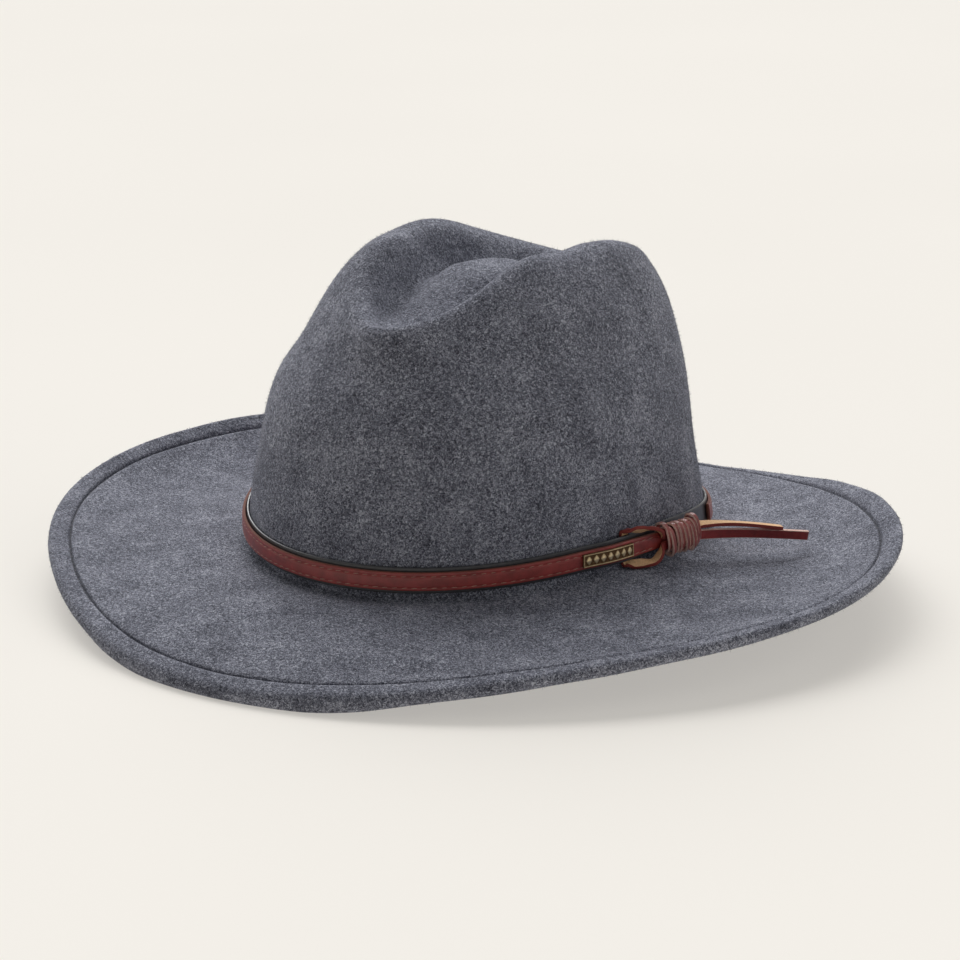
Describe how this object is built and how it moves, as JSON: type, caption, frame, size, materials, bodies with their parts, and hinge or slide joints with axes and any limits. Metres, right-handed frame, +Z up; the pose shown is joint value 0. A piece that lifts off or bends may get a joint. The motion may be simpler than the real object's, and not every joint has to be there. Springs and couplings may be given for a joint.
{
  "type": "outdoor hat",
  "caption": "Wide-brimmed wool felt hat with a creased, pinched crown, a stitched brim edge and a leather band closed by a lace loop and a wrapped knot.",
  "frame": {"origin": "on the surface that the hat rests on, under the middle of the hat's box", "axes": "+Z up, the front of the hat faces -Y, the wearer's left side with the knot is +X"},
  "size_m": [0.35, 0.352, 0.135],
  "materials": {
    "felt": "heathered blue-grey wool felt, matte and slightly fuzzy",
    "backing_leather": "smooth black leather, satin",
    "strap_leather": "dark red-brown waxed leather with raw tan edges and two rows of stitches",
    "plate_brass": "antique brass, darkened in its hollows",
    "lace_leather": "flat cut lace leather, red-brown on its grain side and tan on its flesh side"
  },
  "bodies": {
    "root": {"felt_body": "felt", "band_backing": "backing_leather", "band_strap": "strap_leather", "band_plate": "plate_brass", "knot_lace": "lace_leather", "knot_wrap": "lace_leather"}
  },
  "joints": []
}
